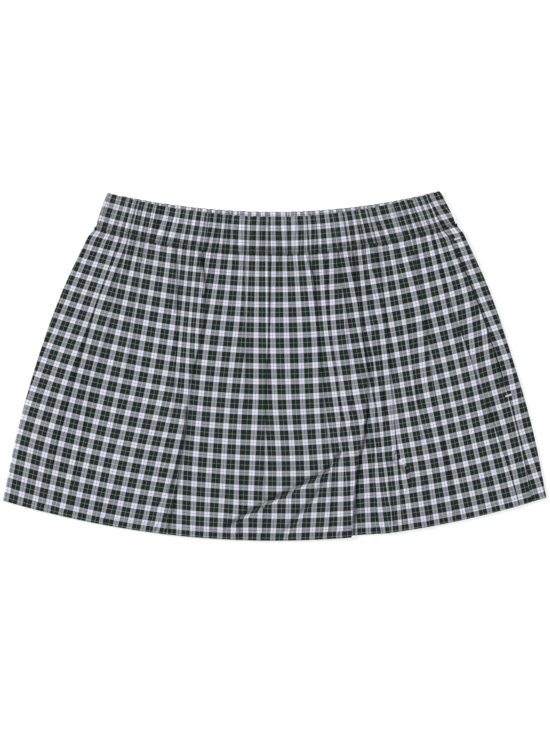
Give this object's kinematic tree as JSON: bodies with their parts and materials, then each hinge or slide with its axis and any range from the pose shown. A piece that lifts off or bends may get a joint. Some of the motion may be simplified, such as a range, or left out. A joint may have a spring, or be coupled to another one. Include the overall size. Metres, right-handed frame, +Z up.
{
  "type": "mini skirt",
  "caption": "Short gathered pull-on skirt in green and white checked cotton with an elastic waist and a side-seam pocket, laid flat.",
  "frame": {"origin": "under the middle of the laid skirt, on the surface it lies on", "axes": "+Z up from the surface, +X across the skirt to the right as its front is seen, +Y from the hem to the waist"},
  "size_m": [0.598, 0.3844, 0.0118],
  "materials": {
    "checked_cotton": "plain-woven yarn-dyed cotton check, dark green and navy on white, matt",
    "pocket_cotton": "plain white cotton, matt",
    "green_thread": "dark green sewing thread",
    "white_thread": "white sewing thread"
  },
  "bodies": {
    "root": {"front_panel": "checked_cotton", "back_panel": "checked_cotton", "front_casing": "checked_cotton", "back_casing": "checked_cotton", "pocket_bag": "pocket_cotton"}
  },
  "joints": []
}
